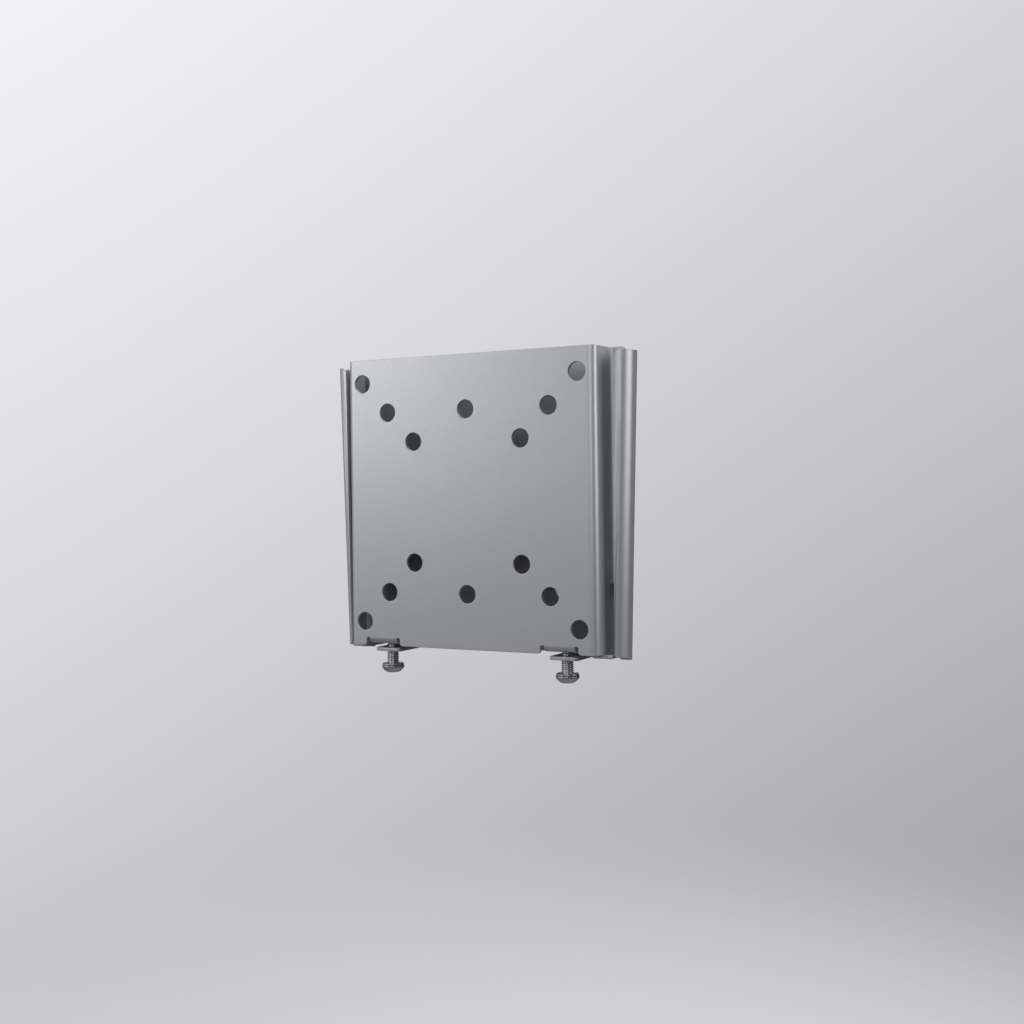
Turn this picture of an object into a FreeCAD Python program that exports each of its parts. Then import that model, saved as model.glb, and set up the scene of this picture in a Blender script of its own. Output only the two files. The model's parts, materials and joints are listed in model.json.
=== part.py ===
"""Low-profile fixed wall mount for a monitor: two folded sheet plates, one sliding down into the other.

The wall plate is a shallow tray with tapered C-channels at its sides. The monitor plate drops into the
channels from above on two wedge-edged flanges, stands on two rest tabs and is held down by two locking
screws from below. Millimetres, +Z up, the wall is the plane y = 0 and the front faces -Y.
"""
import FreeCAD, Part
import math
import os

# Sheet stock of both plates
sheet = 1.5
bend_inside = 1.0
relief_width = 1.6

# Whole mount
mount_depth = 20.5

# Wall plate: height, tapering room beside the monitor plate for the rolled channels, and the lips that keep it in
wall_height = 120.0
channel_room_top = 11.6
channel_room_bottom = 8.1
channel_depth = 14.2
channel_bend_inside = 4.5
lip_width_top = 6.0
lip_width_bottom = 3.7
lip_corner_radius = 2.5

# Ends of the channels: lips a little short of the wall plate's height, feet below it
lip_setback = 0.5
foot_drop = 2.2

# Wall fixing: four level slots and two round holes on the centre line
slot_spacing_x = 75.0
slot_spacing_z = 70.0
slot_length = 14.0
slot_width = 6.0
centre_hole_spacing = 90.0
centre_hole_diameter = 6.0

# Rest tabs that carry the monitor plate, at the wall plate's lower corners, with blades between the lips
rest_tab_width = 5.0
rest_tab_rise = 1.2
rest_tab_setback = 5.5
rest_tab_play = 0.6
fold_margin = 0.5

# Locking screw tabs of the wall plate
screw_tab_width = 12.2
screw_tab_drop = 1.5
screw_tab_setback = 3.0
tab_corner_radius = 1.8
screw_spacing = 82.2
screw_behind_face = 7.5

# Monitor plate: face, splayed side walls and flanges that run in the middle of the channels
plate_width = 114.5
plate_height = 120.0
plate_bend_inside = 1.5
side_splay_degrees = 5.5
edge_play = 0.4
flange_length = 88.5
flange_end_slant = 7.5
flange_corner_radius = 4.0

# Screw patterns for the monitor
pattern_large = 100.0
pattern_middle = 75.0
pattern_small = 50.0
pattern_hole_diameter = 7.5

# Nut tabs of the monitor plate, folded back from its lower edge
nut_tab_width = 13.3
nut_tab_rise = 0.8
nut_tab_depth = 13.5
notch_corner_radius = 1.4

# Locking screw, size M5, with its washer and press nut
thread_diameter = 5.0
screw_length = 16.0
screw_tip_chamfer = 0.6
screw_backed_off = 5.4
head_diameter = 9.5
head_height = 2.75
head_rim_height = 0.6
head_flat_diameter = 5.0
socket_width = 3.0
socket_depth = 1.6
washer_diameter = 9.0
washer_thickness = 1.0
nut_collar_diameter = 9.5
nut_collar_height = 3.9
nut_collar_chamfer = 0.4
nut_shank_diameter = 6.3

# Clearances, measured on the radius
thread_clearance = 0.05
washer_clearance = 0.1
press_clearance = 0.02
tab_hole_clearance = 0.3

# Room that a cutting body needs beyond the faces it cuts
overcut = 1.0

# Sizes and places worked out from the values above
bend_outside = bend_inside + sheet
channel_bend_outside = channel_bend_inside + sheet
plate_bend_outside = plate_bend_inside + sheet
wall_top = wall_height / 2
wall_bottom = -wall_height / 2
wall_width_top = plate_width + 2 * channel_room_top
wall_width_bottom = plate_width + 2 * channel_room_bottom
lip_top = wall_top - lip_setback
lip_bottom = wall_bottom + lip_setback
foot_bottom = wall_bottom - foot_drop
fold_strip = channel_bend_outside + fold_margin
front_y = -mount_depth
lip_front_y = -channel_depth
flange_front_y = -(channel_depth + sheet) / 2
side_end_y = flange_front_y - plate_bend_inside
plate_bottom = wall_bottom + rest_tab_rise
plate_top = plate_bottom + plate_height
pattern_centre = plate_bottom + plate_height / 2
rest_tab_end = front_y + rest_tab_setback
rest_tab_outer = wall_width_bottom / 2 - fold_strip - relief_width
rest_tab_underside = plate_bottom - sheet
screw_x = screw_spacing / 2
screw_y = front_y + screw_behind_face
screw_tab_underside = wall_bottom - screw_tab_drop
nut_tab_underside = plate_bottom + nut_tab_rise
nut_tab_top = nut_tab_underside + sheet
head_bearing = screw_tab_underside - screw_backed_off - washer_thickness

# Planes that outlines are drawn in: level, seen from the front, and seen from the right
LEVEL = FreeCAD.Rotation()
FRONT = FreeCAD.Rotation(FreeCAD.Vector(1, 0, 0), FreeCAD.Vector(0, 0, 1), FreeCAD.Vector(0, -1, 0))
SIDE = FreeCAD.Rotation(FreeCAD.Vector(0, 1, 0), FreeCAD.Vector(0, 0, 1), FreeCAD.Vector(1, 0, 0))

# Two lengths closer than this count as equal
SAME = 1e-6


def flat(first, second):
    """A point of an outline in its own plane."""
    return FreeCAD.Vector(first, second, 0)


def heading_of(start, end):
    """The direction from one point to another."""
    return (end - start) / (end - start).Length


def left_of(heading):
    """The direction a quarter turn to the left of a heading."""
    return flat(-heading.y, heading.x)


def add_line(edges, start, end):
    """Adds a line to a row of edges, unless its ends meet."""
    if not start.isEqual(end, SAME):
        edges.append(Part.LineSegment(start, end).toShape())


def rounded_run(points, radii, offset=0.0):
    """Lines and arcs along some points, rounded at the inner ones and moved to the left by an offset."""
    headings = [heading_of(start, end) for start, end in zip(points, points[1:])]
    edges = []
    start = points[0] + left_of(headings[0]) * offset
    for corner, radius, before, after in zip(points[1:], radii, headings, headings[1:]):
        turn = before.cross(after).z
        hand = math.copysign(1, turn)
        setback = radius * math.tan(math.atan2(abs(turn), before.dot(after)) / 2)
        centre = corner - before * setback + left_of(before) * (hand * radius)
        arc_start = corner - before * setback + left_of(before) * offset
        arc_end = corner + after * setback + left_of(after) * offset
        add_line(edges, start, arc_start)
        if radius > 0:
            arc_middle = centre + heading_of(centre, corner) * (radius - hand * offset)
            edges.append(Part.Arc(arc_start, arc_middle, arc_end).toShape())
        start = arc_end
    add_line(edges, start, points[-1] + left_of(headings[-1]) * offset)
    return edges


def sheet_face(path, inside):
    """Section of a folded sheet along the middle of its thickness, with the inside radius of its bends."""
    radii = [inside + sheet / 2] * (len(path) - 2)
    left = rounded_run(path, radii, sheet / 2)
    right = rounded_run(path, radii, -sheet / 2)
    across_start = left_of(heading_of(path[0], path[1])) * (sheet / 2)
    across_end = left_of(heading_of(path[-2], path[-1])) * (sheet / 2)
    end_cap = Part.LineSegment(path[-1] + across_end, path[-1] - across_end).toShape()
    start_cap = Part.LineSegment(path[0] - across_start, path[0] + across_start).toShape()
    return Part.Face(Part.Wire(left + [end_cap] + right[::-1] + [start_cap]))


def outline_face(corners):
    """Closed outline whose corners are given with their radii. The first corner is sharp."""
    points = [point for point, radius in corners]
    radii = [radius for point, radius in corners]
    return Part.Face(Part.Wire(rounded_run(points + points[:1], radii[1:])))


def sharp(points):
    """Corners without rounding."""
    return [(point, 0) for point in points]


def swept(face, plane, base, direction):
    """Solid swept from an outline, drawn in a plane whose origin is at the base point."""
    placed = face.copy()
    placed.Placement = FreeCAD.Placement(base, plane)
    return placed.extrude(direction)


def through_y(face, y_from, y_to, x=0.0, z=0.0):
    """Solid of an outline seen from the front, from one depth to another."""
    return swept(face, FRONT, FreeCAD.Vector(x, y_from, z), FreeCAD.Vector(0, y_to - y_from, 0))


def along_x(face, x_centre, width):
    """Solid of an outline seen from the right, of a given width."""
    return swept(face, SIDE, FreeCAD.Vector(x_centre - width / 2, 0, 0), FreeCAD.Vector(width, 0, 0))


def upright_rod(diameter, x, y, z_from, z_to):
    """Cylinder along Z."""
    return Part.makeCylinder(diameter / 2, z_to - z_from, FreeCAD.Vector(x, y, z_from))


def drill(diameter, x, z, y_from, y_to):
    """Cylinder square to the plates."""
    base = FreeCAD.Vector(x, y_from, z)
    return Part.makeCylinder(diameter / 2, y_to - y_from, base, FreeCAD.Vector(0, 1, 0))


def both_sides(shape):
    """A right-hand shape and its mirror image."""
    return [shape, shape.mirror(FreeCAD.Vector(0, 0, 0), FreeCAD.Vector(1, 0, 0))]


def wall_half_width(z):
    """Half of the wall plate's outer width at a height."""
    share = (z - wall_bottom) / wall_height
    return (wall_width_bottom + (wall_width_top - wall_width_bottom) * share) / 2


def lip_half_opening(z):
    """Half of the clear width between the lips at a height."""
    share = (z - wall_bottom) / wall_height
    return wall_half_width(z) - lip_width_bottom - (lip_width_top - lip_width_bottom) * share


def flange_half_width(z):
    """Half of the width over the monitor plate's flanges at a height: the channel less its play."""
    return wall_half_width(z) - sheet - edge_play


def tab_root(underside, edge):
    """Height at which a tab leaves its plate: where its fold begins, at least a relief's width above the edge."""
    return max(underside + bend_outside, edge + relief_width)


def tab_notch(width, root, edge, corner_radius):
    """Outline of the cut that frees a tab from its plate's lower edge, with round relief ends."""
    half = width / 2 + relief_width
    far = half + corner_radius + overcut
    return outline_face([
        (flat(-far, edge - overcut), 0),
        (flat(far, edge - overcut), 0),
        (flat(far, edge), 0),
        (flat(half, edge), corner_radius),
        (flat(half, root), relief_width / 2),
        (flat(-half, root), relief_width / 2),
        (flat(-half, edge), corner_radius),
        (flat(-far, edge), 0),
    ])


def folded_tab(x, width, middle_y, root, underside, end_y):
    """Tab that comes down from a plate and folds level, with its two free corners rounded."""
    level = underside + sheet / 2
    path = [flat(middle_y, root), flat(middle_y, level), flat(end_y, level)]
    strip = along_x(sheet_face(path, bend_inside), x, width)
    outward = math.copysign(1, end_y - middle_y)
    start_y = middle_y - outward * sheet
    plan = outline_face([
        (flat(x - width / 2, start_y), 0),
        (flat(x + width / 2, start_y), 0),
        (flat(x + width / 2, end_y), tab_corner_radius),
        (flat(x - width / 2, end_y), tab_corner_radius),
    ])
    rise = FreeCAD.Vector(0, 0, root - underside)
    return strip.common(swept(plan, LEVEL, FreeCAD.Vector(0, 0, underside), rise))


def one_solid(shapes):
    """The shapes joined into one clean solid."""
    joined = shapes[0].fuse(shapes[1:]).removeSplitter()
    return joined.Solids[0]


def channel_ends():
    """Side view of a channel: its head is level over the lip, and both ends slant out towards the back."""
    return outline_face(sharp([
        flat(lip_front_y - overcut, lip_bottom),
        flat(lip_front_y, lip_bottom),
        flat(0, foot_bottom),
        flat(overcut, foot_bottom),
        flat(overcut, wall_top),
        flat(0, wall_top),
        flat(lip_front_y + channel_bend_outside, lip_top),
        flat(lip_front_y - overcut, lip_top),
    ]))


def wall_channel():
    """Right-hand channel, rolled in two large bends to an inward lip and leaning in towards the bottom."""
    section = sheet_face([
        flat(-fold_strip, -sheet / 2),
        flat(-sheet / 2, -sheet / 2),
        flat(-sheet / 2, lip_front_y + sheet / 2),
        flat(-lip_width_top - bend_outside, lip_front_y + sheet / 2),
    ], channel_bend_inside)
    low = foot_bottom - overcut
    high = wall_top + overcut
    foot = FreeCAD.Vector(wall_half_width(low), 0, low)
    head = FreeCAD.Vector(wall_half_width(high), 0, high)
    across_fold = FreeCAD.Rotation(FreeCAD.Vector(0, 0, 1), head - foot)
    channel = swept(section, across_fold, foot, head - foot)
    return channel.common(along_x(channel_ends(), head.x, 2 * head.x))


def wall_web():
    """Flat back of the wall plate between its two channels."""
    top = wall_half_width(wall_top) - fold_strip
    bottom = wall_half_width(wall_bottom) - fold_strip
    outline = outline_face(sharp([
        flat(-bottom, wall_bottom),
        flat(bottom, wall_bottom),
        flat(top, wall_top),
        flat(-top, wall_top),
    ]))
    return through_y(outline, -sheet, 0)


def lip_opening():
    """Cut that trims the lips to width and rounds their upper inner corners."""
    low = lip_bottom - overcut
    far = wall_half_width(wall_top)
    outline = outline_face([
        (flat(-lip_half_opening(low), low), 0),
        (flat(lip_half_opening(low), low), 0),
        (flat(lip_half_opening(lip_top), lip_top), lip_corner_radius),
        (flat(far, lip_top), 0),
        (flat(far, lip_top + overcut), 0),
        (flat(-far, lip_top + overcut), 0),
        (flat(-far, lip_top), 0),
        (flat(-lip_half_opening(lip_top), lip_top), lip_corner_radius),
    ])
    return through_y(outline, lip_front_y - overcut, lip_front_y + channel_bend_outside)


def wall_fixing_holes():
    """Level slots at the corners of a rectangle, and round holes on the centre line."""
    slot_end = slot_width / 2
    half = slot_length / 2
    slot = outline_face([
        (flat(0, -slot_end), 0),
        (flat(half, -slot_end), slot_end),
        (flat(half, slot_end), slot_end),
        (flat(-half, slot_end), slot_end),
        (flat(-half, -slot_end), slot_end),
    ])
    holes = []
    for row in (-1, 1):
        z = row * slot_spacing_z / 2
        for side in (-1, 1):
            x = side * slot_spacing_x / 2
            holes.append(through_y(slot, -sheet - overcut, overcut, x, z))
        centre_z = row * centre_hole_spacing / 2
        holes.append(drill(centre_hole_diameter, 0, centre_z, -sheet - overcut, overcut))
    return holes


def rest_blade(x):
    """Blade of the right rest tab, which widens in front of its fold and ends just inside the lip."""
    outer = lip_half_opening(lip_bottom) - rest_tab_play
    start_y = -bend_outside - rest_tab_play
    plan = outline_face([
        (flat(x, start_y), 0),
        (flat(x, rest_tab_end), 0),
        (flat(outer, rest_tab_end), tab_corner_radius),
        (flat(outer, start_y), tab_corner_radius),
    ])
    return swept(plan, LEVEL, FreeCAD.Vector(0, 0, rest_tab_underside), FreeCAD.Vector(0, 0, sheet))


def wall_plate():
    """Tray that is screwed to the wall, folded from one sheet."""
    rest_x = rest_tab_outer - rest_tab_width / 2
    rest_root = tab_root(rest_tab_underside, wall_bottom)
    screw_root = tab_root(screw_tab_underside, wall_bottom)
    rest_notch = tab_notch(rest_tab_width, rest_root, wall_bottom, 0)
    screw_notch = tab_notch(screw_tab_width, screw_root, wall_bottom, 0)
    cuts = wall_fixing_holes()
    cuts += both_sides(through_y(rest_notch, -sheet - overcut, overcut, rest_x))
    cuts += both_sides(through_y(screw_notch, -sheet - overcut, overcut, screw_x))
    tray = one_solid([wall_web().cut(cuts)] + both_sides(wall_channel().cut(lip_opening())))
    rest_tab = folded_tab(rest_x, rest_tab_width, -sheet / 2, rest_root, rest_tab_underside, rest_tab_end)
    screw_end = front_y + screw_tab_setback
    screw_tab = folded_tab(screw_x, screw_tab_width, -sheet / 2, screw_root, screw_tab_underside, screw_end)
    hole_diameter = thread_diameter + 2 * tab_hole_clearance
    hole = upright_rod(hole_diameter, screw_x, screw_y, screw_tab_underside - overcut, wall_bottom + overcut)
    tabs = [rest_tab.fuse(rest_blade(rest_x)), screw_tab.cut(hole)]
    return one_solid([tray] + [half for tab in tabs for half in both_sides(tab)])


def plate_section():
    """Hat section of the monitor plate: face, splayed sides and flanges."""
    lean = math.radians(side_splay_degrees)
    face_y = front_y + sheet / 2
    flange_y = flange_front_y + sheet / 2
    fold_x = plate_width / 2 - sheet / 2 * (1 - math.sin(lean)) / math.cos(lean)
    root_x = fold_x + (flange_y - face_y) * math.tan(lean)
    end_x = flange_half_width(plate_top) + overcut
    return sheet_face([
        flat(-end_x, flange_y),
        flat(-root_x, flange_y),
        flat(-fold_x, face_y),
        flat(fold_x, face_y),
        flat(root_x, flange_y),
        flat(end_x, flange_y),
    ], plate_bend_inside)


def flange_trim():
    """Cut that gives the right flange its wedge edge, slanted lower end and round upper corner."""
    inner = plate_width / 2 - plate_bend_outside
    far = flange_half_width(plate_top) + 2 * overcut
    outer_end = plate_top - flange_length
    outline = outline_face([
        (flat(inner, plate_bottom - overcut), 0),
        (flat(inner, outer_end - flange_end_slant), 0),
        (flat(flange_half_width(outer_end), outer_end), 0),
        (flat(flange_half_width(plate_top), plate_top), flange_corner_radius),
        (flat(inner, plate_top), 0),
        (flat(inner, plate_top + overcut), 0),
        (flat(far, plate_top + overcut), 0),
        (flat(far, plate_bottom - overcut), 0),
    ])
    return through_y(outline, side_end_y, flange_front_y + sheet + overcut)


def pattern_holes():
    """Square screw patterns, and the pair on the centre line at the middle pattern's height."""
    places = [(0, row * pattern_middle / 2) for row in (-1, 1)]
    for spacing in (pattern_large, pattern_middle, pattern_small):
        for row in (-1, 1):
            places += [(side * spacing / 2, row * spacing / 2) for side in (-1, 1)]
    depth = (front_y - overcut, front_y + sheet + overcut)
    return [drill(pattern_hole_diameter, x, pattern_centre + z, *depth) for x, z in places]


def monitor_plate():
    """Plate that is screwed to the monitor, folded from one sheet."""
    nut_root = tab_root(nut_tab_underside, plate_bottom)
    nut_end = front_y + nut_tab_depth
    height = FreeCAD.Vector(0, 0, plate_height)
    hat = swept(plate_section(), LEVEL, FreeCAD.Vector(0, 0, plate_bottom), height)
    notch = tab_notch(nut_tab_width, nut_root, plate_bottom, notch_corner_radius)
    cuts = both_sides(flange_trim()) + pattern_holes()
    cuts += both_sides(through_y(notch, front_y - overcut, front_y + sheet + overcut, screw_x))
    nut_tab = folded_tab(screw_x, nut_tab_width, front_y + sheet / 2, nut_root, nut_tab_underside, nut_end)
    hole_diameter = nut_shank_diameter + 2 * press_clearance
    hole = upright_rod(hole_diameter, screw_x, screw_y, nut_tab_underside - overcut, nut_tab_top + overcut)
    return one_solid([hat.cut(cuts)] + both_sides(nut_tab.cut(hole)))


def press_nut():
    """Nut pressed into a nut tab from above: shank in the sheet, collar on top."""
    bore = thread_diameter / 2 + thread_clearance
    shank = nut_shank_diameter / 2
    collar = nut_collar_diameter / 2
    top = nut_tab_top + nut_collar_height
    return revolved([
        (bore, nut_tab_underside),
        (shank, nut_tab_underside),
        (shank, nut_tab_top),
        (collar, nut_tab_top),
        (collar, top - nut_collar_chamfer),
        (collar - nut_collar_chamfer, top),
        (bore, top),
    ])


def screw_washer():
    """Plain washer that rides on the screw's head."""
    bore = thread_diameter / 2 + washer_clearance
    rim = washer_diameter / 2
    top = head_bearing + washer_thickness
    return revolved([(bore, head_bearing), (rim, head_bearing), (rim, top), (bore, top)])


def revolved(section):
    """Solid turned about Z from the straight-sided half section of radius and height."""
    points = [FreeCAD.Vector(radius, 0, z) for radius, z in section]
    face = Part.Face(Part.makePolygon(points + points[:1]))
    return face.revolve(FreeCAD.Vector(0, 0, 0), FreeCAD.Vector(0, 0, 1))


def locking_screw():
    """Domed socket screw: shank with a bevelled tip above, head with a hexagon socket below."""
    shank = thread_diameter / 2
    tip = head_bearing + screw_length
    body = revolved([
        (0, head_bearing),
        (shank, head_bearing),
        (shank, tip - screw_tip_chamfer),
        (shank - screw_tip_chamfer, tip),
        (0, tip),
    ])
    rim = head_diameter / 2
    crown = head_flat_diameter / 2
    rim_z = head_bearing - head_rim_height
    end_z = head_bearing - head_height
    dome_start = FreeCAD.Vector(rim, 0, rim_z)
    dome_end = FreeCAD.Vector(crown, 0, end_z)
    chord_middle = (dome_start + dome_end) / 2
    centre_rise = chord_middle.x * (rim - crown) / (rim_z - end_z)
    dome_centre = FreeCAD.Vector(0, 0, chord_middle.z + centre_rise)
    dome_radius = (dome_start - dome_centre).Length
    shoulder = dome_centre + heading_of(dome_centre, chord_middle) * dome_radius
    dome = Part.Arc(dome_start, shoulder, dome_end).toShape()
    straight = [
        dome_end,
        FreeCAD.Vector(0, 0, end_z),
        FreeCAD.Vector(0, 0, head_bearing),
        FreeCAD.Vector(rim, 0, head_bearing),
        dome_start,
    ]
    section = Part.Face(Part.Wire([dome] + Part.makePolygon(straight).Edges))
    head = section.revolve(FreeCAD.Vector(0, 0, 0), FreeCAD.Vector(0, 0, 1))
    corner_radius = socket_width / math.sqrt(3)
    corners = []
    for step in range(6):
        angle = math.radians(60 * step)
        corners.append(flat(corner_radius * math.cos(angle), corner_radius * math.sin(angle)))
    socket_base = FreeCAD.Vector(0, 0, end_z - overcut)
    socket_height = FreeCAD.Vector(0, 0, socket_depth + overcut)
    socket = swept(outline_face(sharp(corners)), LEVEL, socket_base, socket_height)
    return one_solid([body, head.cut(socket)])


def build():
    """Writes one file for each piece."""
    nodes = {"wall_plate": wall_plate(), "monitor_plate": monitor_plate()}
    hardware = {"press_nut": press_nut(), "locking_screw": locking_screw(), "screw_washer": screw_washer()}
    for side, x in (("left", -screw_x), ("right", screw_x)):
        for name, shape in hardware.items():
            nodes[f"{name}_{side}"] = shape.translated(FreeCAD.Vector(x, screw_y, 0))
    os.makedirs("parts", exist_ok=True)
    for name, shape in nodes.items():
        shape.exportStep(f"parts/{name}.step")


build()
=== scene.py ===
"""Finished looks of a low-profile monitor wall mount: coated plates, plated hardware and a studio.

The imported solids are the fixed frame. The two folded plates get rounded cut edges and a satin
silver coat, the screws and nuts get cut threads and plating, the washers get rounded edges and
plating, and each piece rides on the body of the solid that it stands for.
"""
import json
import math

import bmesh
import bpy
from bpy.props import FloatProperty, FloatVectorProperty, IntProperty, PointerProperty
from mathutils import Matrix, Vector

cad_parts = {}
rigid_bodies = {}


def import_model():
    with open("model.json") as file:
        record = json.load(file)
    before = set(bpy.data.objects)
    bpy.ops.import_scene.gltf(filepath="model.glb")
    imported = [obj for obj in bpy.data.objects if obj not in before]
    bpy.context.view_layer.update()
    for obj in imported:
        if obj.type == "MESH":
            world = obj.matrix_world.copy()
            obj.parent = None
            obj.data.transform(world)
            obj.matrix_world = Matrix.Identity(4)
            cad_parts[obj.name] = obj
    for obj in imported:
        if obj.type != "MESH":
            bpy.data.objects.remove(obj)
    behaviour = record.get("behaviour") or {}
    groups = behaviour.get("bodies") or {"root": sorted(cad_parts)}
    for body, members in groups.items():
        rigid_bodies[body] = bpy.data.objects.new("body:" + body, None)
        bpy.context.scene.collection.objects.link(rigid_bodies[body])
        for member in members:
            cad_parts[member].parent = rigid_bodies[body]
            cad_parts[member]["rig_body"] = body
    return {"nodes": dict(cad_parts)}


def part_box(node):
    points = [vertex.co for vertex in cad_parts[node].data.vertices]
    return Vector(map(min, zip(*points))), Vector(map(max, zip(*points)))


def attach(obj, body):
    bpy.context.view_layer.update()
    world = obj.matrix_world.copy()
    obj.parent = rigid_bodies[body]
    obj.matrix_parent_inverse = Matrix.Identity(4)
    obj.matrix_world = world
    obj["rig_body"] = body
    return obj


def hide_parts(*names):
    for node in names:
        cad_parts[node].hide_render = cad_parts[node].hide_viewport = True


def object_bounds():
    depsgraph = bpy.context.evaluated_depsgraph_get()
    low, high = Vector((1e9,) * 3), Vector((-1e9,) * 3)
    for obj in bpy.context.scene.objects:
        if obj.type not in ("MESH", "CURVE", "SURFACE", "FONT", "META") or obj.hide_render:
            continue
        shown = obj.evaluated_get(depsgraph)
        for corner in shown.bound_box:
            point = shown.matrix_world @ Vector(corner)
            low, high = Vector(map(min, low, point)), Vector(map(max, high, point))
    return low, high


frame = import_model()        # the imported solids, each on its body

bl_info = {
    "name": "Monitor wall mount",
    "version": (1, 0, 0),
    "blender": (4, 5, 0),
    "location": "View3D > Sidebar > Wall mount",
    "description": "Dresses a slide-in monitor wall mount with coat, plating, threads and studio",
    "category": "Object",
}

# Millimetres and degrees in the units of the scene
MM = 0.001
DEGREE = math.pi / 180

# The solids' own box, at whose centre the lights aim
CAD_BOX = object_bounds()

# A mix node's sockets for values and colours share their names, so they are told apart by place
FACTOR = 0
FIRST_VALUE = 2
LAST_VALUE = 3
FIRST_COLOUR = 6
LAST_COLOUR = 7
MIXED_COLOUR = 2

# Each piece of hardware comes as a left and a right one
SIDES = ("left", "right")

# A hexagon has a corner every sixth of a turn
SIXTH = math.pi / 3

# Octaves of the finishes' noises: few give soft clouds, more give crisp patches
RIPPLE_DETAIL = 1
CLOUD_DETAIL = 2
NICKEL_DETAIL = 3
ZINC_DETAIL = 4


def linear(hex_colour):
    """An sRGB colour such as #B0B0B0 as linear red, green and blue, by the standard's curve."""
    channels = []
    for start in (1, 3, 5):
        value = int(hex_colour[start:start + 2], 16) / 255
        if value <= 0.04045:
            channels.append(value / 12.92)
        else:
            channels.append(((value + 0.055) / 1.055) ** 2.4)
    return channels


def colour(name, description, hex_colour):
    """A colour setting that shows as a swatch."""
    return FloatVectorProperty(
        name=name, description=description, subtype="COLOR", size=3, min=0, max=1,
        default=linear(hex_colour),
    )


def length(name, description, millimetres):
    """A length setting, given in millimetres."""
    return FloatProperty(
        name=name, description=description, unit="LENGTH", precision=5, default=millimetres * MM
    )


def lengths(name, description, *millimetres):
    """A width and height or a place, given in millimetres."""
    return FloatVectorProperty(
        name=name, description=description, unit="LENGTH", size=len(millimetres),
        default=[value * MM for value in millimetres],
    )


def angle(name, description, degrees):
    """An angle setting, given in degrees."""
    return FloatProperty(
        name=name, description=description, subtype="ANGLE", default=degrees * DEGREE
    )


def share(name, description, value):
    """A setting between nothing and all."""
    return FloatProperty(
        name=name, description=description, subtype="FACTOR", min=0, max=1, default=value
    )


def count(name, description, value):
    """A whole number."""
    return IntProperty(name=name, description=description, min=1, default=value)


def power(name, description, watts):
    """The power of a light, given in watts."""
    return FloatProperty(name=name, description=description, unit="POWER", default=watts)


def brightness(name, description, value):
    """A brightness, where one is white and less than nothing takes light away from a sum."""
    return FloatProperty(name=name, description=description, default=value)


class SheetSettings(bpy.types.PropertyGroup):
    """Edges and coat of the two folded plates."""

    edge_radius: length("Edge radius", "Rounding that the coat leaves on a cut edge", 0.25)
    edge_steps: count("Edge steps", "Facets across a rounded edge", 3)
    edge_angle: angle("Edge angle", "Folds turn by less than this at a facet, cut edges more", 40)
    flat_angle: angle("Flat angle", "Facets that turn by less than this are one flat face", 0.5)
    sliver_angle: angle("Sliver angle", "A sharper facet leaves no room for a rounded edge", 8)
    flat_weight: count("Flat weight", "How much the normals follow the larger faces", 50)
    weld: length("Weld", "Corners closer than this are one corner", 0.002)
    coat_colour: colour("Coat colour", "Silver of the flakes in the coat", "#C6C7CB")
    coat_shade: colour("Coat shade", "Darker silver where the flakes lie thinner", "#BCBEC2")
    coat_metal: share("Coat metal", "How metallic the coat looks", 0.6)
    coat_roughness: share("Coat roughness", "Roughness of the satin skin", 0.42)
    coat_uneven: share("Coat unevenness", "Change of roughness from flake to flake", 0.04)
    flake_size: length("Flake size", "Grain of the flakes, coarser than real to show", 0.45)
    flake_height: share("Flake height", "Height of the flakes, as a share of the ripples", 0.15)
    peel_size: length("Peel size", "Width of the ripples in the cured coat", 1.6)
    peel_height: length("Peel height", "Height of the ripples in the cured coat", 0.004)
    cloud_size: length("Cloud size", "Width of the uneven patches of the spray", 38)


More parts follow.
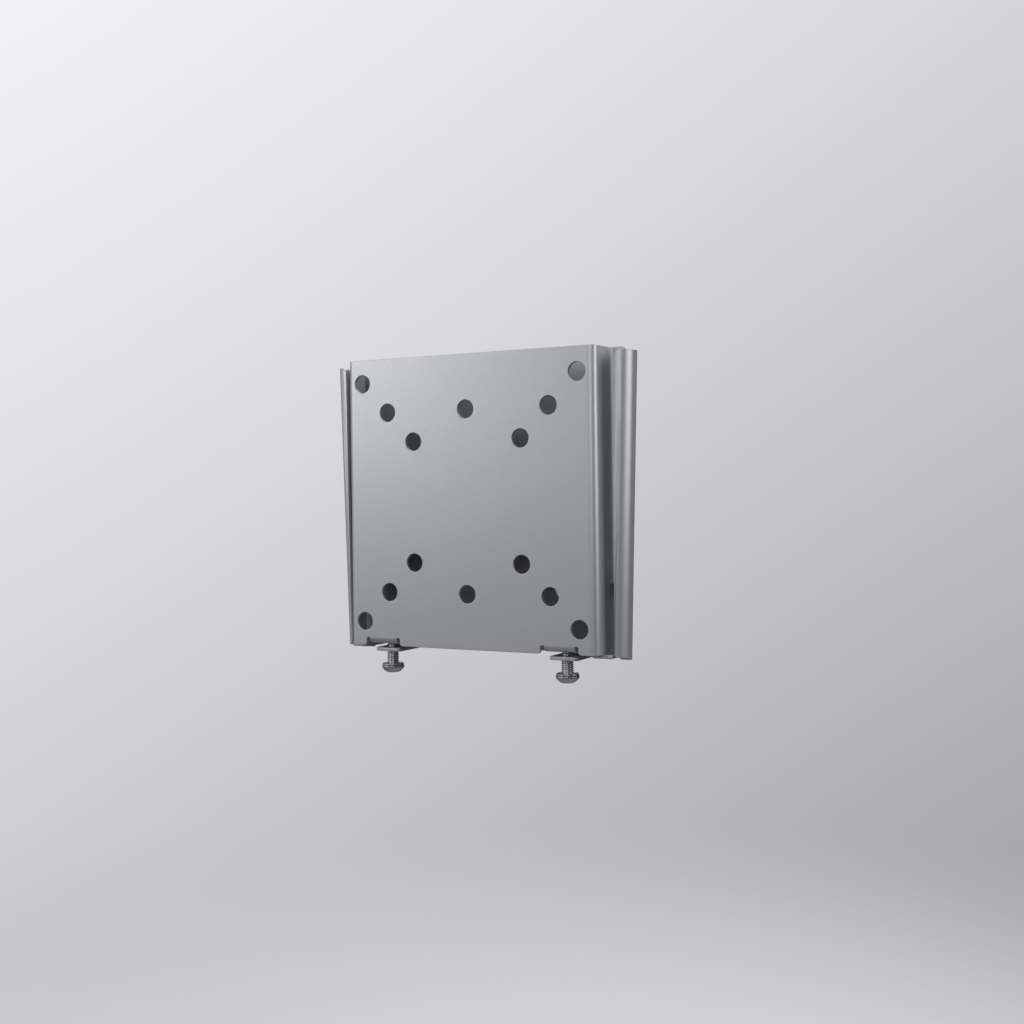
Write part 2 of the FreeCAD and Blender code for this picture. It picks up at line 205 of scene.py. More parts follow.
class HardwareSettings(bpy.types.PropertyGroup):
    """Sizes and plating of the locking screws, washers and press nuts."""

    around: count("Facets around", "Facets around a turned piece, a multiple of six", 60)
    pitch: length("Pitch", "Advance of the M5 thread in one turn", 0.8)
    thread_depth: length("Thread depth", "Depth of the thread's groove in the screw", 0.46)
    nut_thread_depth: length("Nut thread depth", "Depth of the groove in the nut's bore", 0.3)
    run_out: length("Run-out", "Length over which a thread fades out", 1.0)
    rings_per_pitch: count("Rings in a pitch", "Facets along one turn of a thread", 12)
    shank_radius: length("Shank radius", "Radius over the thread's crests", 2.5)
    shank_fillet: length("Shank fillet", "Rounding where the shank meets the head", 0.25)
    tip_bevel: length("Tip bevel", "Bevel at the screw's tip", 0.6)
    head_height: length("Head height", "Height of the domed head", 2.75)
    head_rim: length("Head rim", "Height of the head's straight rim", 0.6)
    crown_radius: length("Crown radius", "Radius of the flat at the head's end", 2.5)
    socket_width: length("Socket width", "Width across the flats of the hexagon socket", 3.0)
    socket_depth: length("Socket depth", "Depth of the hexagon socket's walls", 1.6)
    socket_point: length("Socket point", "Depth of the drill's point below the socket's walls", 0.5)
    socket_bevel: length("Socket bevel", "Bevel at the socket's mouth", 0.15)
    dome_steps: count("Dome steps", "Facets across the head's dome", 9)
    fillet_steps: count("Fillet steps", "Facets across the fillet and the head's upper edge", 4)
    edge_radius: length("Edge radius", "Rounding of the turned edges", 0.12)
    edge_steps: count("Edge steps", "Facets across a washer's or nut's rounded edge", 3)
    washer_bore: length("Washer bore", "Radius of the washer's hole", 2.6)
    nut_bore: length("Nut bore", "Radius of the nut's hole over its crests", 2.55)
    nut_shank: length("Nut shank", "Radius of the nut's shank in the sheet", 3.15)
    nut_collar: length("Nut collar height", "Height of the nut's collar above the sheet", 3.9)
    nut_chamfer: length("Nut chamfer", "Chamfer on the nut's collar", 0.4)
    nickel_colour: colour("Nickel colour", "Neutral grey of bright nickel", "#DADBDE")
    nickel_shade: colour("Nickel shade", "Thinner patches of the nickel", "#CBCCCF")
    nickel_roughness: share("Nickel roughness", "Roughness of the bright plating", 0.26)
    zinc_colour: colour("Zinc colour", "Cool grey of clear zinc plating", "#BABCC1")
    zinc_shade: colour("Zinc shade", "Duller patches of the zinc plating", "#A2A4AA")
    zinc_roughness: share("Zinc roughness", "Roughness of the zinc plating", 0.34)
    plating_uneven: share("Plating unevenness", "Change of roughness from patch to patch", 0.07)
    turning_step: length("Turning step", "Spacing of the lathe's marks, coarse enough to show", 0.16)
    turning_height: length("Turning height", "Height of the lathe's marks", 0.0012)
    blotch_size: length("Blotch size", "Width of the patches in the plating", 1.4)


class StudioSettings(bpy.types.PropertyGroup):
    """Camera, floor and light."""

    azimuth: angle("Azimuth", "Camera's turn to the right of straight ahead", 28.196)
    elevation: angle("Elevation", "Camera's height angle", 0.6514)
    roll: angle("Roll", "Camera's turn about its own axis", -0.668)
    distance: length("Distance", "From the camera to the plane of the mount's face", 516.193)
    aim_x: length("Aim to the right", "Where the camera looks, from the mount's centre", 21.025)
    aim_z: length("Aim height", "Where the camera looks, from the mount's centre", -3.013)
    lens: FloatProperty(name="Lens", description="Focal length", unit="CAMERA", default=45.728)
    clip_start: length("Clip start", "Nearest distance that the camera sees", 10)
    floor_drop: length("Floor drop", "Floor below the mount's centre", 300)
    floor_radius: length("Floor radius", "Radius of the floor", 750)
    floor_fade: length("Floor fade", "Width of the soft edge at which the floor ends", 650)
    floor_facets: count("Floor facets", "Facets around the floor", 96)
    paper_colour: colour("Paper colour", "Pale grey of the floor", "#EDEDEE")
    paper_thin: share("Thin paper", "Tone of the floor where its pulp is thin", 0.98)
    paper_bounce: share("Paper bounce", "Share of light that the floor throws onto the mount", 0.3)
    pulp_size: length("Pulp size", "Width of the clouds in the floor's pulp", 30)
    backdrop_colour: colour("Backdrop colour", "Pale grey of the backdrop's light", "#FCFCFF")
    backdrop_level: brightness("Backdrop level", "Even part of the backdrop's light", -0.01)
    backdrop_least: brightness("Backdrop least", "Light of the backdrop's darkest side", 0.03)
    backdrop_slope: FloatVectorProperty(
        name="Backdrop slope",
        description="Rise of the backdrop's light to the left, up and away from the camera",
        default=(0.4, 0.6, 0.05),
    )
    backdrop_view: share("Backdrop view", "Brightness behind the mount that the camera sees", 0.6)
    backdrop_contrast: share("Backdrop contrast", "How much of its slope the camera sees", 0.8)
    key_power: power("Key power", "Power of the soft box at the left", 1.2)
    key_size: lengths("Key size", "Width and height of the soft box at the left", 400, 280)
    key_place: lengths("Key place", "In front at the left, a little above", -539, -558, 194)
    fill_power: power("Fill power", "Power of the soft box in front", 0.9)
    fill_size: lengths("Fill size", "Width and height of the soft box in front", 420, 400)
    fill_place: lengths("Fill place", "In front, a little to the right and above", 232, -575, 200)
    rim_power: power("Rim power", "Power of the soft box beside the mount", 1.6)
    rim_size: lengths("Rim size", "Width and height of the soft box beside the mount", 500, 450)
    rim_place: lengths("Rim place", "At the right, a little behind and above", 590, 104, 190)
    back_power: power("Back power", "Power of the soft box behind the mount", 1.9)
    back_size: lengths("Back size", "Width and height of the soft box behind the mount", 600, 400)
    back_place: lengths("Back place", "Above and behind, a little to the left", -180, 620, 460)


class WallMountSettings(bpy.types.PropertyGroup):
    """All the settings of the wall mount."""

    sheet: PointerProperty(
        name="Sheet", description="Edges and coat of the plates", type=SheetSettings
    )
    hardware: PointerProperty(
        name="Hardware", description="Screws, washers and nuts", type=HardwareSettings
    )
    studio: PointerProperty(
        name="Studio", description="Camera, floor and light", type=StudioSettings
    )


def add_node(tree, kind, settings=None, inputs=None):
    """Adds a node with its settings, and fills its inputs with values or links from other nodes."""
    node = tree.nodes.new(kind)
    for name, value in (settings or {}).items():
        setattr(node, name, value)
    for name, value in (inputs or {}).items():
        if isinstance(value, bpy.types.NodeSocket):
            tree.links.new(value, node.inputs[name])
        else:
            node.inputs[name].default_value = value
    return node


def opaque(rgb):
    """A colour with full alpha, as the sockets take it."""
    return (*rgb, 1)


def finish(make, settings):
    """The material of a finish, made once and named after the function that lays out its nodes."""
    name = make.__name__
    if name in bpy.data.materials:
        return bpy.data.materials[name]
    material = bpy.data.materials.new(name)
    material.use_nodes = True
    tree = material.node_tree
    tree.nodes.clear()
    add_node(tree, "ShaderNodeOutputMaterial", None, {"Surface": make(tree, settings)})
    return material


def satin_silver_powder_coat(tree, sheet):
    """Satin silver powder coat: flakes under a cured skin give a soft, faintly grainy sheen."""
    place = add_node(tree, "ShaderNodeTexCoord").outputs["Object"]
    # Uneven spray, as wide soft patches
    clouds = add_node(tree, "ShaderNodeTexNoise", None, {
        "Vector": place, "Scale": 1 / sheet.cloud_size, "Detail": CLOUD_DETAIL,
    })
    # Flakes are some hundredths of a millimetre wide, but drawn a pixel wide so that they show
    flakes = add_node(tree, "ShaderNodeTexVoronoi", None, {
        "Vector": place, "Scale": 1 / sheet.flake_size,
    })
    flake = add_node(tree, "ShaderNodeSeparateColor", None, {0: flakes.outputs["Color"]})
    # Flakes and clouds both run up to one, so their sum runs up to two
    patchy = add_node(tree, "ShaderNodeMath", {"operation": "ADD"}, {
        0: flake.outputs[0], 1: clouds.outputs["Fac"],
    })
    even = add_node(tree, "ShaderNodeMapRange", None, {"Value": patchy.outputs[0], "From Max": 2})
    silver = add_node(tree, "ShaderNodeMix", {"data_type": "RGBA"}, {
        FACTOR: even.outputs["Result"],
        FIRST_COLOUR: opaque(sheet.coat_shade),
        LAST_COLOUR: opaque(sheet.coat_colour),
    })
    # Ripples that a cured coat keeps, with the flakes as fine grain on top
    ripples = add_node(tree, "ShaderNodeTexNoise", None, {
        "Vector": place, "Scale": 1 / sheet.peel_size, "Detail": RIPPLE_DETAIL,
    })
    grain = add_node(tree, "ShaderNodeMath", {"operation": "MULTIPLY_ADD"}, {
        0: flake.outputs[1], 1: sheet.flake_height, 2: ripples.outputs["Fac"],
    })
    skin = add_node(tree, "ShaderNodeBump", None, {
        "Height": grain.outputs[0], "Distance": sheet.peel_height,
    })
    rough = add_node(tree, "ShaderNodeMapRange", None, {
        "Value": flake.outputs[2],
        "To Min": sheet.coat_roughness - sheet.coat_uneven,
        "To Max": sheet.coat_roughness + sheet.coat_uneven,
    })
    shader = add_node(tree, "ShaderNodeBsdfPrincipled", None, {
        "Base Color": silver.outputs[MIXED_COLOUR],
        "Metallic": sheet.coat_metal,
        "Roughness": rough.outputs["Result"],
        "Normal": skin.outputs["Normal"],
    })
    return shader.outputs[0]


def plated_steel(tree, hardware, tones, roughness, detail):
    """Plating on turned steel: patches of two tones, smoother where lighter, over turned rings."""
    place = add_node(tree, "ShaderNodeTexCoord").outputs["Object"]
    patches = add_node(tree, "ShaderNodeTexNoise", None, {
        "Vector": place, "Scale": 1 / hardware.blotch_size, "Detail": detail,
    })
    shade, light = tones
    plating = add_node(tree, "ShaderNodeMix", {"data_type": "RGBA"}, {
        FACTOR: patches.outputs["Fac"], FIRST_COLOUR: opaque(shade), LAST_COLOUR: opaque(light),
    })
    rough = add_node(tree, "ShaderNodeMapRange", None, {
        "Value": patches.outputs["Fac"],
        "To Min": roughness + hardware.plating_uneven,
        "To Max": roughness - hardware.plating_uneven,
    })
    # Fine rings along the turned profile, drawn wider apart than real so that they show
    along = add_node(tree, "ShaderNodeAttribute", {"attribute_name": "turned"})
    turns = add_node(tree, "ShaderNodeMath", {"operation": "MULTIPLY"}, {
        0: along.outputs["Fac"], 1: math.tau / hardware.turning_step,
    })
    marks = add_node(tree, "ShaderNodeMath", {"operation": "SINE"}, {0: turns.outputs[0]})
    rings = add_node(tree, "ShaderNodeBump", None, {
        "Height": marks.outputs[0], "Distance": hardware.turning_height,
    })
    shader = add_node(tree, "ShaderNodeBsdfPrincipled", None, {
        "Base Color": plating.outputs[MIXED_COLOUR],
        "Metallic": 1,
        "Roughness": rough.outputs["Result"],
        "Normal": rings.outputs["Normal"],
    })
    return shader.outputs[0]


def bright_nickel_plating(tree, hardware):
    """Bright nickel plating: neutral grey with clear, slightly softened reflections."""
    tones = hardware.nickel_shade, hardware.nickel_colour
    return plated_steel(tree, hardware, tones, hardware.nickel_roughness, NICKEL_DETAIL)


def clear_zinc_plating(tree, hardware):
    """Clear zinc plating: cool grey and satin, with duller patches."""
    tones = hardware.zinc_shade, hardware.zinc_colour
    return plated_steel(tree, hardware, tones, hardware.zinc_roughness, ZINC_DETAIL)


def pale_floor_paper(tree, studio):
    """Matt pale paper of the studio's floor, with a trace of its pulp, fading out at its edge."""
    place = add_node(tree, "ShaderNodeTexCoord").outputs["Object"]
    # Pulp clouds of some centimetres, coarser than real so that they stay quiet behind the mount
    pulp = add_node(tree, "ShaderNodeTexNoise", None, {
        "Vector": place, "Scale": 1 / studio.pulp_size, "Detail": CLOUD_DETAIL,
    })
    tone = add_node(tree, "ShaderNodeMapRange", None, {
        "Value": pulp.outputs["Fac"], "To Min": studio.paper_thin, "To Max": 1,
    })
    # The camera sees pale paper, while the mount gets less light back from it
    bounce = add_node(tree, "ShaderNodeMapRange", None, {
        "Value": add_node(tree, "ShaderNodeLightPath").outputs["Is Camera Ray"],
        "To Min": studio.paper_bounce,
        "To Max": tone.outputs["Result"],
    })
    pale = add_node(tree, "ShaderNodeVectorMath", {"operation": "SCALE"}, {
        0: studio.paper_colour, "Scale": bounce.outputs["Result"],
    })
    paper = add_node(tree, "ShaderNodeBsdfDiffuse", None, {"Color": pale.outputs[0]})
    far = add_node(tree, "ShaderNodeVectorMath", {"operation": "LENGTH"}, {0: place})
    fade = add_node(tree, "ShaderNodeMapRange", {"interpolation_type": "SMOOTHSTEP"}, {
        "Value": far.outputs["Value"],
        "From Min": studio.floor_radius - studio.floor_fade,
        "From Max": studio.floor_radius,
    })
    open_air = add_node(tree, "ShaderNodeBsdfTransparent")
    surface = add_node(tree, "ShaderNodeMixShader", None, {
        0: fade.outputs["Result"], 1: paper.outputs[0], 2: open_air.outputs[0],
    })
    return surface.outputs[0]


def shown(name, mesh, material=None):
    """A new object in the scene, at the origin."""
    piece = bpy.data.objects.new(name, mesh)
    bpy.context.scene.collection.objects.link(piece)
    if material:
        mesh.materials.append(material)
    return piece


def made_plain(piece):
    """Swaps a piece's modifiers for the plain mesh that they give."""
    depsgraph = bpy.context.evaluated_depsgraph_get()
    finished = bpy.data.meshes.new_from_object(
        piece.evaluated_get(depsgraph), preserve_all_data_layers=True, depsgraph=depsgraph
    )
    if not finished.polygons:
        raise RuntimeError(f"{piece.name} came out empty")
    source = piece.data
    piece.modifiers.clear()
    piece.data = finished
    bpy.data.meshes.remove(source)
    finished.name = piece.name


def stands_for(piece, node):
    """A finished piece takes the place of a solid, on the solid's own body."""
    body = frame["nodes"][node]["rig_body"]
    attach(piece, body)
    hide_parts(node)


def has_room(edge, sliver_angle):
    """Whether the facets beside an edge are wide enough at its ends for a rounding."""
    ends = [loop for start in edge.link_loops for loop in (start, start.link_loop_next)]
    return all(loop.calc_angle() > sliver_angle for loop in ends)


def folded_plate(node, name, sheet):
    """A folded plate with its flats whole, its folds smooth and its cut edges rounded.

    Where a cut edge runs aslant over a fold, the slivers of facets beside it leave it crisp.
    """
    mesh = bpy.data.meshes.new(name)
    work = bmesh.new()
    work.from_mesh(frame["nodes"][node].data)
    bmesh.ops.remove_doubles(work, verts=work.verts, dist=sheet.weld)
    bmesh.ops.dissolve_limit(work, angle_limit=sheet.flat_angle, verts=work.verts, edges=work.edges)
    for face in work.faces:
        face.smooth = True
    rounded = work.edges.layers.float.new("bevel_weight_edge")
    for edge in work.edges:
        if edge.calc_face_angle() > sheet.edge_angle:
            edge[rounded] = has_room(edge, sheet.sliver_angle)
            edge.smooth = edge[rounded] > 0
    work.to_mesh(mesh)
    work.free()
    piece = shown(name, mesh, finish(satin_silver_powder_coat, sheet))
    rounding = piece.modifiers.new("Cut edges", "BEVEL")
    rounding.width = sheet.edge_radius
    rounding.segments = sheet.edge_steps
    rounding.limit_method = "WEIGHT"
    rounding.use_clamp_overlap = False
    rounding.loop_slide = False
    # Normals follow the large faces, so that the flats look flat beside their rounded edges
    weighting = piece.modifiers.new("Flat faces", "WEIGHTED_NORMAL")
    weighting.weight = sheet.flat_weight
    weighting.keep_sharp = True
    triangles = piece.modifiers.new("Triangles", "TRIANGULATE")
    triangles.keep_custom_normals = True
    made_plain(piece)
    stands_for(piece, node)


def distance_from_axis(radius, hexagonal, turn):
    """Radius of a ring at an angle: even on a round ring, out to the corners on a hexagon."""
    if hexagonal:
        return radius / math.cos(turn % SIXTH - SIXTH / 2)
    return radius


def turned_mesh(name, rings, around, closed=False):
    """Mesh turned about Z from rings of radius, height and whether they are hexagons.

    A ring without radius is a point on the axis. Each corner keeps its distance along the profile.
    """
    work = bmesh.new()
    travelled = work.verts.layers.float.new("turned")
    rows = []
    far = 0
    last = rings[0]
    for radius, height, hexagonal in rings:
        far += math.hypot(radius - last[0], height - last[1])
        last = (radius, height)
        row = []
        for step in range(around if radius else 1):
            turn = math.tau * step / around
            out = distance_from_axis(radius, hexagonal, turn)
            corner = work.verts.new((out * math.cos(turn), out * math.sin(turn), height))
            corner[travelled] = far
            row.append(corner)
        rows.append(row)
    pairs = list(zip(rows, rows[1:]))
    if closed:
        pairs.append((rows[-1], rows[0]))
    for lower, upper in pairs:
        for step in range(around):
            after = step + 1
            corners = [
                lower[step % len(lower)], lower[after % len(lower)],
                upper[after % len(upper)], upper[step % len(upper)],
            ]
            face = work.faces.new(list(dict.fromkeys(corners)))
            face.smooth = True
    bmesh.ops.recalc_face_normals(work, faces=work.faces)
    mesh = bpy.data.meshes.new(name)
    work.to_mesh(mesh)
    work.free()
    return mesh


def round_rings(corners):
    """Rings that are all round."""
    return [(radius, height, False) for radius, height in corners]


def arc(centre, radius, start, end, steps):
    """Corners of a profile along an arc about a centre, angles in degrees."""
    corners = []
    for step in range(steps + 1):
        turn = (start + (end - start) * step / steps) * DEGREE
        corners.append((centre[0] + radius * math.cos(turn), centre[1] + radius * math.sin(turn)))
    return corners


def even_run(radius, low, high, step):
    """Corners of a profile along a straight rod, about a step apart."""
    parts = max(1, round(abs(high - low) / step))
    return [(radius, low + (high - low) * part / parts) for part in range(1, parts)]


def rounded_box_profile(inner, outer, low, high, edge, steps):
    """Closed profile of a ring with four rounded edges."""
    corners = arc((outer - edge, low + edge), edge, -90, 0, steps)
    corners += arc((outer - edge, high - edge), edge, 0, 90, steps)
    corners += arc((inner + edge, high - edge), edge, 90, 180, steps)
    corners += arc((inner + edge, low + edge), edge, 180, 270, steps)
    return corners


def screw_rings(hardware, low, high, head_radius):
    """Profile of the locking screw, from the socket's point round the head and up to the tip."""
    bearing = low + hardware.head_height
    rim_low = bearing - hardware.head_rim
    half_socket = hardware.socket_width / 2
    socket_end = low + hardware.socket_depth
    rings = [
        (0, socket_end + hardware.socket_point, False),
        (half_socket, socket_end, True),
        (half_socket, low + hardware.socket_bevel, True),
        (half_socket + hardware.socket_bevel, low, True),
        (hardware.crown_radius, low, False),
    ]
    # The dome is part of a sphere about a point on the axis
    chord_x = (head_radius + hardware.crown_radius) / 2
    chord_z = (rim_low + low) / 2
    centre_z = chord_z + chord_x * (head_radius - hardware.crown_radius) / (rim_low - low)
    dome_radius = math.hypot(head_radius, rim_low - centre_z)
    start = math.degrees(math.atan2(low - centre_z, hardware.crown_radius))
    end = math.degrees(math.atan2(rim_low - centre_z, head_radius))
    rings += round_rings(arc((0, centre_z), dome_radius, start, end, hardware.dome_steps)[1:])
    edge = hardware.edge_radius
    steps = hardware.fillet_steps
    rings += round_rings(arc((head_radius - edge, bearing - edge), edge, 0, 90, steps))
    fillet = hardware.shank_fillet
    shank = hardware.shank_radius
    rings += round_rings(arc((shank + fillet, bearing + fillet), fillet, 270, 180, steps))
    tip_low = high - hardware.tip_bevel
    step = hardware.pitch / hardware.rings_per_pitch
    rings += round_rings(even_run(shank, bearing + fillet, tip_low, step))
    rings += round_rings([(shank, tip_low), (shank - hardware.tip_bevel, high)])
    rings.append((0, high, False))
    return rings


def nut_rings(hardware, low, high, collar_radius):
    """Closed profile of the press nut: shank, collar with a chamfer, and bore."""
    shoulder = high - hardware.nut_collar
    edge = hardware.edge_radius
    chamfer = hardware.nut_chamfer
    shank = hardware.nut_shank
    bore = hardware.nut_bore
    corners = [(bore + edge, low), (shank, low), (shank, shoulder)]
    corners += arc((collar_radius - edge, shoulder + edge), edge, -90, 0, hardware.edge_steps)
    corners += [(collar_radius, high - chamfer), (collar_radius - chamfer, high)]
    corners += [(bore + edge, high), (bore, high - edge)]
    step = hardware.pitch / hardware.rings_per_pitch
    corners += even_run(bore, high - edge, low + edge, step)
    corners += [(bore, low + edge)]
    return round_rings(corners)


# Inputs of the node tree that cuts a thread
THREAD_INPUTS = {
    "Pitch": "NodeSocketFloat",
    "Depth": "NodeSocketFloat",
    "Start": "NodeSocketFloat",
    "End": "NodeSocketFloat",
    "Run-out": "NodeSocketFloat",
    "Reach": "NodeSocketFloat",
    "Place": "NodeSocketVector",
    "Finish": "NodeSocketMaterial",
}

# Sums of the node tree that cuts a thread, each with its operation and terms
THREAD_SUMS = {
    "turn": ("ARCTAN2", "y", "x"),
    "turns": ("DIVIDE", "turn", math.tau),
    "pitches": ("DIVIDE", "z", "Pitch"),
    "phase": ("SUBTRACT", "pitches", "turns"),
    "half wave": ("PINGPONG", "phase", 0.5),
    "wave": ("MULTIPLY", "half wave", 2),
    "from start": ("SUBTRACT", "z", "Start"),
    "from end": ("SUBTRACT", "End", "z"),
    "nearest": ("MINIMUM", "from start", "from end"),
    "inward": ("MULTIPLY", "Depth", -1),
}

# Shares of half a pitch between which a metric thread's flank rises from its groove to its crest
GROOVE_END = 0.25
CREST_START = 0.875


def thread_tree():
    """Node tree that cuts a right-hand thread into a turned blank, then places and finishes it.

    The groove follows height over pitch less the share of a turn. A positive depth cuts towards the
    axis, as on a screw, and a negative one away from it, as in a nut. Corners further out than the
    reach stay as they are.
    """
    name = "cut_thread"
    if name in bpy.data.node_groups:
        return bpy.data.node_groups[name]
    tree = bpy.data.node_groups.new(name, "GeometryNodeTree")
    tree.interface.new_socket("Blank", in_out="INPUT", socket_type="NodeSocketGeometry")
    for label, kind in THREAD_INPUTS.items():
        tree.interface.new_socket(label, in_out="INPUT", socket_type=kind)
    tree.interface.new_socket("Piece", in_out="OUTPUT", socket_type="NodeSocketGeometry")
    given = add_node(tree, "NodeGroupInput").outputs
    place = add_node(tree, "GeometryNodeInputPosition").outputs[0]
    axes = add_node(tree, "ShaderNodeSeparateXYZ", None, {0: place}).outputs
    known = {label: given[label] for label in THREAD_INPUTS}
    known.update(x=axes["X"], y=axes["Y"], z=axes["Z"])
    for label, (operation, *terms) in THREAD_SUMS.items():
        values = {index: known.get(term, term) for index, term in enumerate(terms)}
        known[label] = add_node(tree, "ShaderNodeMath", {"operation": operation}, values).outputs[0]
    # The cut is full in the groove, nothing on the crest, and fades at the thread's ends
    groove = add_node(tree, "ShaderNodeMapRange", None, {
        "Value": known["wave"],
        "From Min": GROOVE_END,
        "From Max": CREST_START,
        "To Min": known["inward"],
        "To Max": 0,
    })
    fade = add_node(tree, "ShaderNodeMapRange", None, {
        "Value": known["nearest"], "From Max": given["Run-out"], "To Max": groove.outputs["Result"],
    })
    level = add_node(tree, "ShaderNodeCombineXYZ", None, {"X": axes["X"], "Y": axes["Y"]})
    radius = add_node(tree, "ShaderNodeVectorMath", {"operation": "LENGTH"}, {0: level.outputs[0]})
    outward = add_node(tree, "ShaderNodeVectorMath", {"operation": "NORMALIZE"}, {
        0: level.outputs[0],
    })
    offset = add_node(tree, "ShaderNodeVectorMath", {"operation": "SCALE"}, {
        0: outward.outputs["Vector"], "Scale": fade.outputs["Result"],
    })
    nearer = {"data_type": "FLOAT", "operation": "LESS_THAN"}
    within = add_node(tree, "FunctionNodeCompare", nearer, {
        0: radius.outputs["Value"], 1: given["Reach"],
    })
    threaded = add_node(tree, "GeometryNodeSetPosition", None, {
        "Geometry": given["Blank"],
        "Selection": within.outputs[0],
        "Offset": offset.outputs["Vector"],
    })
    moved = add_node(tree, "GeometryNodeTransform", None, {
        "Geometry": threaded.outputs[0], "Translation": given["Place"],
    })
    real = add_node(tree, "GeometryNodeRealizeInstances", None, {"Geometry": moved.outputs[0]})
    coated = add_node(tree, "GeometryNodeSetMaterial", None, {
        "Geometry": real.outputs[0], "Material": given["Finish"],
    })
    add_node(tree, "NodeGroupOutput", None, {"Piece": coated.outputs[0]})
    return tree


def threaded_piece(name, blank, values):
    """A turned blank with its thread cut, as a plain piece in its place."""
    piece = shown(name, blank)
    cutter = piece.modifiers.new("Thread", "NODES")
    cutter.node_group = thread_tree()
    for item in cutter.node_group.interface.items_tree:
        if item.name in values:
            cutter[item.identifier] = values[item.name]
    made_plain(piece)
    return piece


def upright_axis(node):
    """Point at height zero on a turned solid's axis, with its radius, lowest and highest height."""
    low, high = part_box(node)
    centre = (low + high) / 2
    return Vector((centre.x, centre.y, 0)), (high.x - low.x) / 2, low.z, high.z


class MOUNT_OT_wall_plate(bpy.types.Operator):
    """Finish the tray that is screwed to the wall"""

    bl_idname = "mount.wall_plate"
    bl_label = "Wall plate"

    def execute(self, context):
        folded_plate("wall_plate", "coated_wall_plate", context.scene.wall_mount.sheet)
        return {"FINISHED"}


class MOUNT_OT_monitor_plate(bpy.types.Operator):
    """Finish the plate that is screwed to the monitor"""

    bl_idname = "mount.monitor_plate"
    bl_label = "Monitor plate"

    def execute(self, context):
        folded_plate("monitor_plate", "coated_monitor_plate", context.scene.wall_mount.sheet)
        return {"FINISHED"}


class MOUNT_OT_locking_screws(bpy.types.Operator):
    """Turn, thread and plate the two locking screws"""

    bl_idname = "mount.locking_screws"
    bl_label = "Locking screws"

    def execute(self, context):
        hardware = context.scene.wall_mount.hardware
        plating = finish(bright_nickel_plating, hardware)
        for side in SIDES:
            node = f"locking_screw_{side}"
            place, head_radius, low, high = upright_axis(node)
            name = f"threaded_screw_{side}"
            rings = screw_rings(hardware, low, high, head_radius)
            blank = turned_mesh(name, rings, hardware.around)
            piece = threaded_piece(name, blank, {
                "Pitch": hardware.pitch,
                "Depth": hardware.thread_depth,
                "Start": low + hardware.head_height + hardware.shank_fillet,
                "End": high,
                "Run-out": hardware.run_out,
                "Reach": head_radius,
                "Place": place,
                "Finish": plating,
            })
            stands_for(piece, node)
        return {"FINISHED"}


class MOUNT_OT_screw_washers(bpy.types.Operator):
    """Turn and plate the two washers under the screws' heads"""

    bl_idname = "mount.screw_washers"
    bl_label = "Screw washers"

    def execute(self, context):
        hardware = context.scene.wall_mount.hardware
        plating = finish(clear_zinc_plating, hardware)
        for side in SIDES:
            node = f"screw_washer_{side}"
            place, rim, low, high = upright_axis(node)
            profile = rounded_box_profile(
                hardware.washer_bore, rim, low, high, hardware.edge_radius, hardware.edge_steps
            )
            name = f"plated_washer_{side}"
            mesh = turned_mesh(name, round_rings(profile), hardware.around, closed=True)
            mesh.transform(Matrix.Translation(place))
            piece = shown(name, mesh, plating)
            stands_for(piece, node)
        return {"FINISHED"}


class MOUNT_OT_press_nuts(bpy.types.Operator):
    """Turn, thread and plate the two nuts that are pressed into the monitor plate"""

    bl_idname = "mount.press_nuts"
    bl_label = "Press nuts"

    def execute(self, context):
        hardware = context.scene.wall_mount.hardware
        plating = finish(clear_zinc_plating, hardware)
        for side in SIDES:
            node = f"press_nut_{side}"
            place, collar, low, high = upright_axis(node)
            name = f"threaded_nut_{side}"
            rings = nut_rings(hardware, low, high, collar)
            blank = turned_mesh(name, rings, hardware.around, closed=True)
            piece = threaded_piece(name, blank, {
                "Pitch": hardware.pitch,
                "Depth": -hardware.nut_thread_depth,
                "Start": low,
                "End": high,
                "Run-out": hardware.run_out,
                "Reach": hardware.nut_bore + hardware.edge_radius / 2,
                "Place": place,
                "Finish": plating,
            })
            stands_for(piece, node)
        return {"FINISHED"}


def soft_floor(studio):
    """Pale floor below the mount, a round sheet of paper."""
    rings = round_rings([(0, 0), (studio.floor_radius, 0)])
    mesh = turned_mesh("studio_floor", rings, studio.floor_facets)
    floor = shown("studio_floor", mesh, finish(pale_floor_paper, studio))
    floor.location.z = -studio.floor_drop


def soft_light(name, watts, size, place, target):
    """Soft box aimed at a point, hidden from the camera itself."""
    lamp = bpy.data.lights.new(name, "AREA")
    lamp.energy = watts
    lamp.shape = "RECTANGLE"
    lamp.size, lamp.size_y = size
    light = bpy.data.objects.new(name, lamp)
    bpy.context.scene.collection.objects.link(light)
    light.location = place
    light.rotation_euler = (Vector(target) - Vector(place)).to_track_quat("-Z", "Y").to_euler()
    light.visible_camera = False


def aimed_camera(studio):
    """Camera at the photograph's viewing angle."""
    side = Vector((math.cos(studio.azimuth), math.sin(studio.azimuth), 0))
    back = Vector((
        math.sin(studio.azimuth) * math.cos(studio.elevation),
        -math.cos(studio.azimuth) * math.cos(studio.elevation),
        math.sin(studio.elevation),
    ))
    up = back.cross(side)
    rolled_side = side * math.cos(studio.roll) + up * math.sin(studio.roll)
    rolled_up = up * math.cos(studio.roll) - side * math.sin(studio.roll)
    aim = Vector((studio.aim_x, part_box("monitor_plate")[0].y, studio.aim_z))
    camera = bpy.data.objects.new("camera", bpy.data.cameras.new("camera"))
    bpy.context.scene.collection.objects.link(camera)
    camera.data.lens = studio.lens
    camera.data.clip_start = studio.clip_start
    camera.matrix_world = (
        Matrix.Translation(aim + back * studio.distance)
        @ Matrix((rolled_side, rolled_up, back)).transposed().to_4x4()
    )
    bpy.context.scene.camera = camera


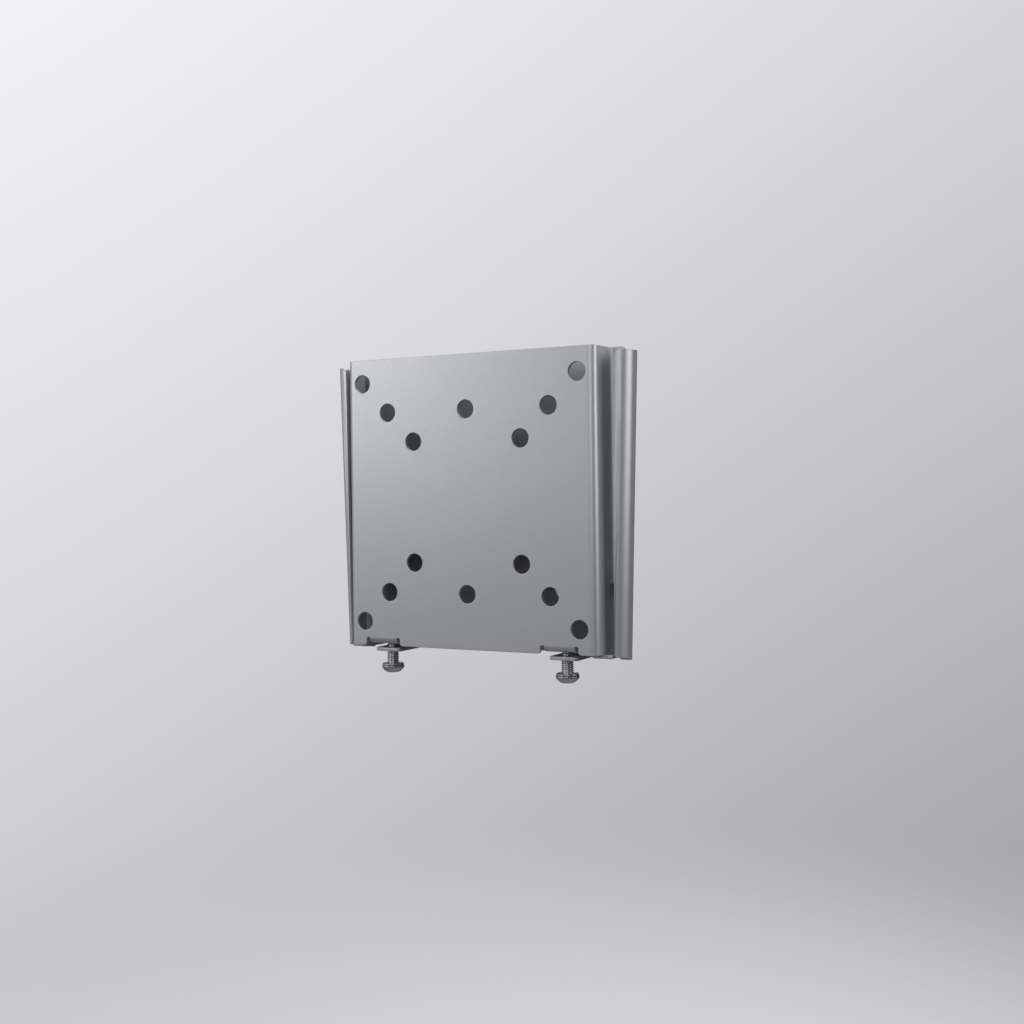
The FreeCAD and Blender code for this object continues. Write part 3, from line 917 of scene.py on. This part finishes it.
def sloping_backdrop(studio):
    """Pale backdrop all round, lightest at the upper left and dimmest at the lower right."""
    away = Vector((-math.sin(studio.azimuth), math.cos(studio.azimuth), 0))
    left = Vector((-math.cos(studio.azimuth), -math.sin(studio.azimuth), 0))
    up = Vector((0, 0, 1))
    to_left, to_top, to_back = studio.backdrop_slope
    slope = left * to_left + up * to_top + away * to_back
    world = bpy.data.worlds.new("sloping_backdrop")
    world.use_nodes = True
    tree = world.node_tree
    direction = add_node(tree, "ShaderNodeTexCoord").outputs["Generated"]
    lean = add_node(tree, "ShaderNodeVectorMath", {"operation": "DOT_PRODUCT"}, {
        0: direction, 1: slope,
    })
    level = add_node(tree, "ShaderNodeMath", {"operation": "ADD"}, {
        0: lean.outputs["Value"], 1: studio.backdrop_level,
    })
    light = add_node(tree, "ShaderNodeMath", {"operation": "MAXIMUM"}, {
        0: level.outputs[0], 1: studio.backdrop_least,
    })
    # The camera sees a paler backdrop than the one that lights the mount
    seen = add_node(tree, "ShaderNodeMath", {"operation": "MULTIPLY_ADD"}, {
        0: lean.outputs["Value"], 1: studio.backdrop_contrast, 2: studio.backdrop_view,
    })
    strength = add_node(tree, "ShaderNodeMix", None, {
        FACTOR: add_node(tree, "ShaderNodeLightPath").outputs["Is Camera Ray"],
        FIRST_VALUE: light.outputs[0],
        LAST_VALUE: seen.outputs[0],
    })
    backdrop = tree.nodes["Background"]
    backdrop.inputs["Color"].default_value = opaque(studio.backdrop_colour)
    tree.links.new(strength.outputs[0], backdrop.inputs["Strength"])
    bpy.context.scene.world = world


class MOUNT_OT_studio(bpy.types.Operator):
    """Set up the floor, the light and the camera"""

    bl_idname = "mount.studio"
    bl_label = "Studio"

    def execute(self, context):
        studio = context.scene.wall_mount.studio
        soft_floor(studio)
        sloping_backdrop(studio)
        centre = (CAD_BOX[0] + CAD_BOX[1]) / 2
        soft_light("key_light", studio.key_power, studio.key_size, studio.key_place, centre)
        soft_light("fill_light", studio.fill_power, studio.fill_size, studio.fill_place, centre)
        soft_light("rim_light", studio.rim_power, studio.rim_size, studio.rim_place, centre)
        soft_light("back_light", studio.back_power, studio.back_size, studio.back_place, centre)
        aimed_camera(studio)
        context.scene.view_settings.view_transform = "Standard"
        return {"FINISHED"}


OPERATORS = (
    MOUNT_OT_wall_plate,
    MOUNT_OT_monitor_plate,
    MOUNT_OT_locking_screws,
    MOUNT_OT_screw_washers,
    MOUNT_OT_press_nuts,
    MOUNT_OT_studio,
)


class MOUNT_PT_sidebar(bpy.types.Panel):
    """Lists the steps that dress the wall mount"""

    bl_idname = "MOUNT_PT_sidebar"
    bl_label = "Wall mount"
    bl_space_type = "VIEW_3D"
    bl_region_type = "UI"
    bl_category = "Wall mount"

    def draw(self, context):
        for operator in OPERATORS:
            self.layout.operator(operator.bl_idname)


SETTINGS = (SheetSettings, HardwareSettings, StudioSettings, WallMountSettings)
CLASSES = (*SETTINGS, *OPERATORS, MOUNT_PT_sidebar)


def register():
    """Adds the classes and the scene's settings."""
    for kind in CLASSES:
        bpy.utils.register_class(kind)
    bpy.types.Scene.wall_mount = PointerProperty(
        name="Wall mount", description="All the settings of the wall mount", type=WallMountSettings
    )


def unregister():
    """Takes the settings and the classes away again."""
    del bpy.types.Scene.wall_mount
    for kind in reversed(CLASSES):
        bpy.utils.unregister_class(kind)


def main():
    """Dresses the mount and sets up the studio."""
    register()
    bpy.ops.mount.wall_plate()
    bpy.ops.mount.monitor_plate()
    bpy.ops.mount.locking_screws()
    bpy.ops.mount.screw_washers()
    bpy.ops.mount.press_nuts()
    bpy.ops.mount.studio()


if __name__ == "__main__":
    main()
